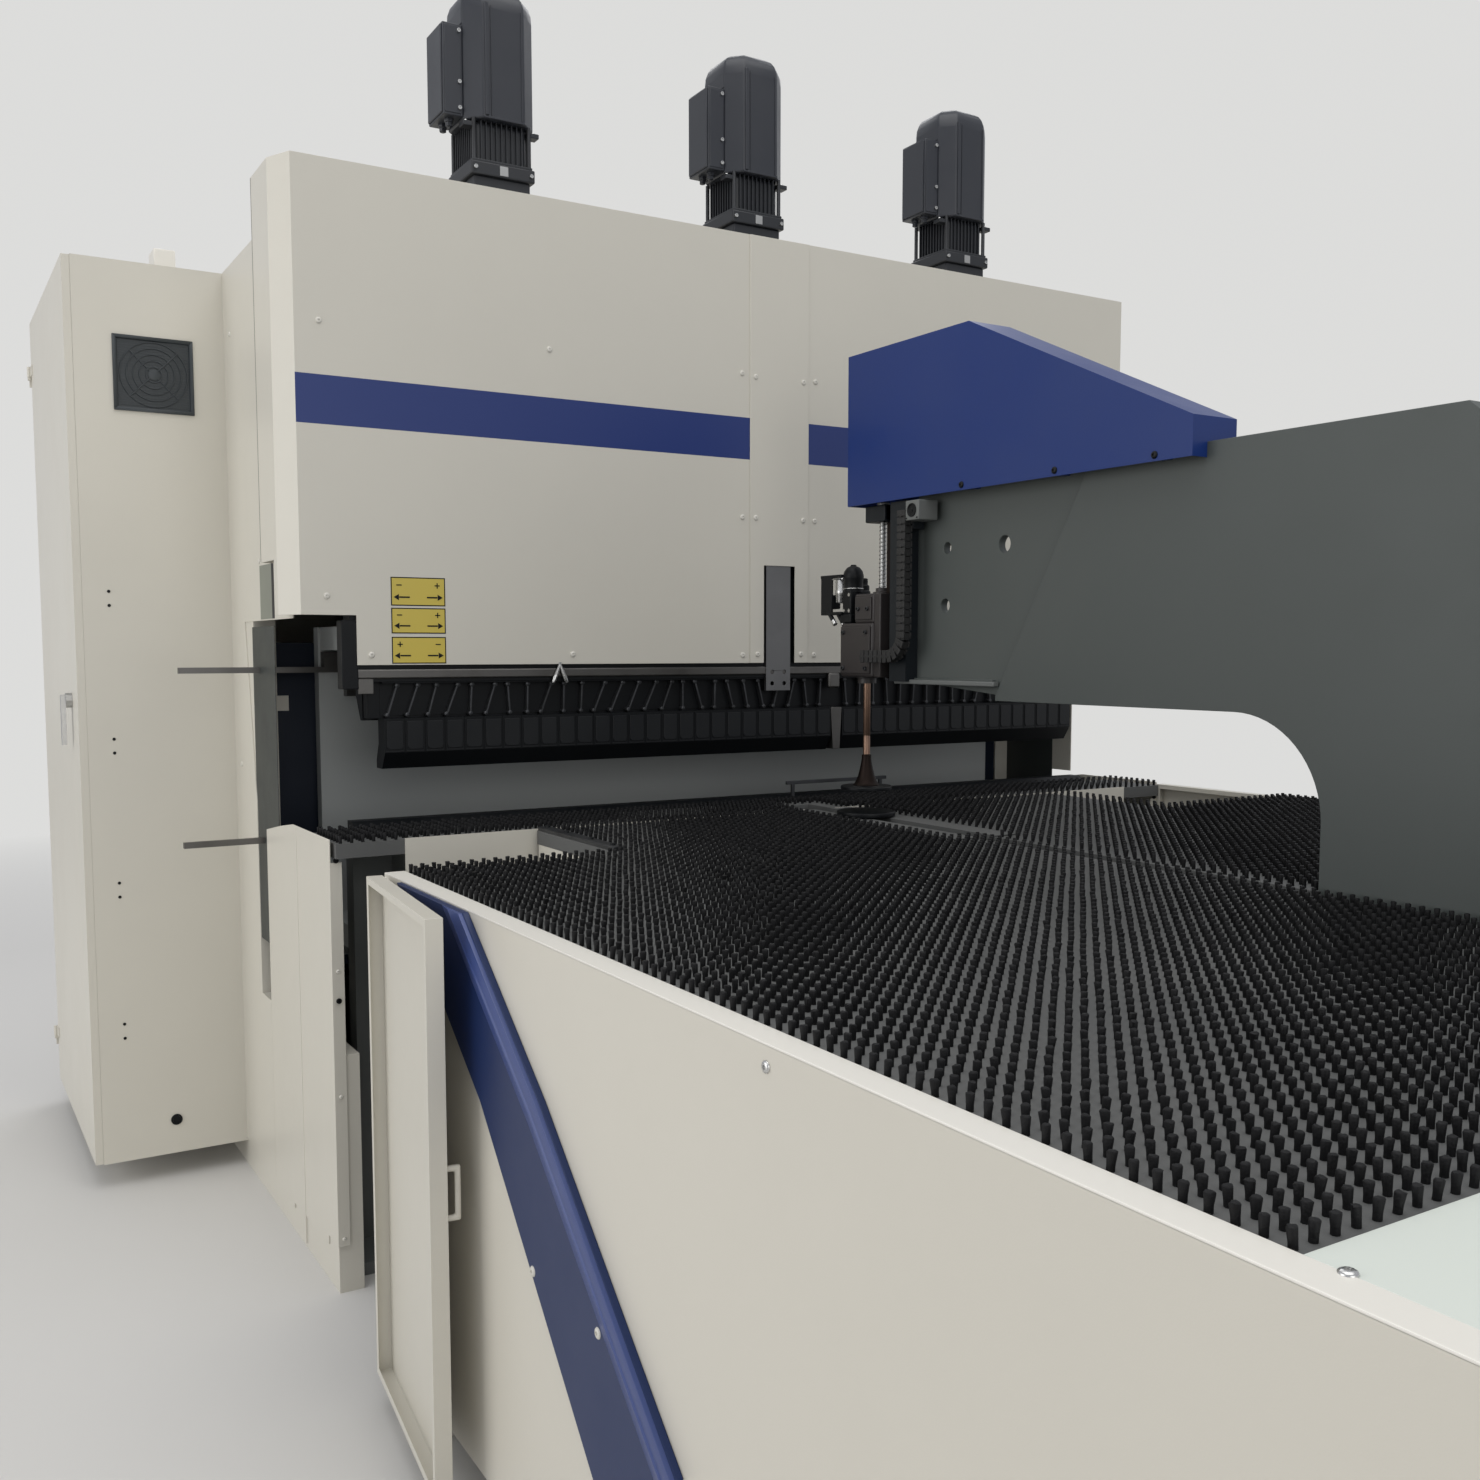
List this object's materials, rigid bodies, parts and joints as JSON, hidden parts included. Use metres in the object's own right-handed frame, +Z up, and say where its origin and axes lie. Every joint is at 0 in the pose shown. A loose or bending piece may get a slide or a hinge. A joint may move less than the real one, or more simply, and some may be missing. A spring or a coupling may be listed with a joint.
{
  "type": "cnc panel bender",
  "caption": "Panel bender with a blank holder, a bending frame, a brush table with a slot and a travelling C-shaped arm that turns the sheet.",
  "frame": {"origin": "on the floor, below the bend line, on the mid-plane of the machine", "axes": "+X to the right seen from the table, +Y from the table into the machine, +Z up"},
  "size_m": [3.0913, 4.806, 3.105],
  "materials": {
    "paint": "satin",
    "blue_paint": "satin",
    "cream_rail": "satin",
    "black_tool": "satin",
    "steel": "brushed",
    "bright_steel": "polished",
    "grey_paint": "satin",
    "arm_green": "satin",
    "brush_board": "matte",
    "motor_paint": "satin",
    "black_plastic": "matte",
    "rod_copper": "polished"
  },
  "bodies": {
    "machine": {"base_frame": "grey_paint", "side_frame_left": "paint", "side_frame_right": "paint", "crown_beam": "paint", "rear_cover": "paint", "upper_cover_left": "paint", "upper_cover_centre": "paint", "upper_cover_right": "paint", "side_cover_left": "paint", "side_cover_right": "paint", "lower_panel_left": "paint", "lower_panel_right": "paint", "cabinet_shell": "paint", "vent_grille": "black_plastic", "drive_motors": "motor_paint", "motor_cowls": "motor_paint", "lower_tool": "black_tool", "sheet_stop": "steel", "strip_brush_board": "brush_board", "strip_front_board": "paint", "brush_board_left": "brush_board", "brush_board_right": "brush_board", "slot_plates": "brush_board", "table_side_left": "cream_rail", "table_side_right": "cream_rail", "front_plate": "cream_rail", "table_frame": "paint", "arm_rails": "steel", "table_braces": "blue_paint", "door_hinges": "steel"},
    "blank_holder": {"ram_beam": "grey_paint", "tool_rail": "black_tool", "tool_bar": "steel", "tool_levers": "steel", "tool_segments_left": "black_tool", "tool_segments_right": "black_tool", "centre_tool": "steel", "centre_guide_bar": "steel"},
    "bending_slides": {"bending_slides": "grey_paint"},
    "bending_frame": {"bending_frame": "grey_paint", "upper_blade": "black_tool", "lower_blade": "black_tool", "side_rails": "steel"},
    "manipulator": {"arm_plate": "arm_green", "arm_cover": "blue_paint", "arm_carriage": "grey_paint", "head_column": "arm_green", "energy_chain": "black_plastic"},
    "lift_screw": {"lift_screw": "bright_steel"},
    "press_head": {"head_carriage": "black_tool", "valve_unit": "steel"},
    "press_foot": {"press_foot": "rod_copper"},
    "lower_disc": {"lower_disc": "steel"},
    "access_door_left": {"access_door_left": "paint", "door_handle_left": "black_plastic"},
    "access_door_right": {"access_door_right": "paint", "door_handle_right": "black_plastic"},
    "cabinet_door": {"cabinet_door": "paint"},
    "cabinet_handle": {"cabinet_handle": "black_plastic"},
    "cabinet_fan": {"cabinet_fan": "black_plastic"}
  },
  "joints": [
    {"name": "blank_holder_lift", "type": "slide", "parent": "machine", "child": "blank_holder", "axis": [0, 0, 1], "range_m": [-0.118, 0.02]},
    {"name": "bending_feed", "type": "slide", "parent": "machine", "child": "bending_slides", "axis": [0, 1, 0], "range_m": [-0.004, 0.012]},
    {"name": "bending_stroke", "type": "slide", "parent": "bending_slides", "child": "bending_frame", "axis": [0, 0, 1], "range_m": [-0.09, 0.09]},
    {"name": "manipulator_travel", "type": "slide", "parent": "machine", "child": "manipulator", "axis": [0, 1, 0], "range_m": [-0.38, 0.2]},
    {"name": "press_lift", "type": "slide", "parent": "manipulator", "child": "press_head", "axis": [0, 0, 1], "range_m": [-0.054, 0.12], "deforming": ["energy_chain"]},
    {"name": "screw_turn", "type": "hinge", "parent": "manipulator", "child": "lift_screw", "pos_m": [0, -0.548, 1.6], "axis": [0, 0, 1], "range_deg": [-980, 2170]},
    {"name": "foot_turn", "type": "hinge", "parent": "press_head", "child": "press_foot", "pos_m": [0, -0.486, 1.2], "axis": [0, 0, 1], "continuous": true},
    {"name": "disc_turn", "type": "hinge", "parent": "manipulator", "child": "lower_disc", "pos_m": [0, -0.486, 0.98], "axis": [0, 0, 1], "continuous": true},
    {"name": "left_door_swing", "type": "hinge", "parent": "machine", "child": "access_door_left", "pos_m": [-1.338, -0.756, 0.55], "axis": [0, 0, 1], "range_deg": [-174.5, 0]},
    {"name": "right_door_swing", "type": "hinge", "parent": "machine", "child": "access_door_right", "pos_m": [1.338, -0.756, 0.55], "axis": [0, 0, 1], "range_deg": [-174.5, 0]},
    {"name": "cabinet_door_swing", "type": "hinge", "parent": "machine", "child": "cabinet_door", "pos_m": [-1.711, 1.6, 1.2], "axis": [0, 0, 1], "range_deg": [-110, 0]},
    {"name": "cabinet_handle_turn", "type": "hinge", "parent": "cabinet_door", "child": "cabinet_handle", "pos_m": [-1.71, 0.817, 1.325], "axis": [1, 0, 0], "range_deg": [0, 90]},
    {"name": "fan_turn", "type": "hinge", "parent": "machine", "child": "cabinet_fan", "pos_m": [-1.492, 0.7, 2.187], "axis": [0, 1, 0], "continuous": true}
  ],
  "couplings": [
    {"joint": "screw_turn", "follows": "press_lift", "rad_per_m": 314.16},
    {"joint": "disc_turn", "follows": "foot_turn", "ratio": 1}
  ]
}
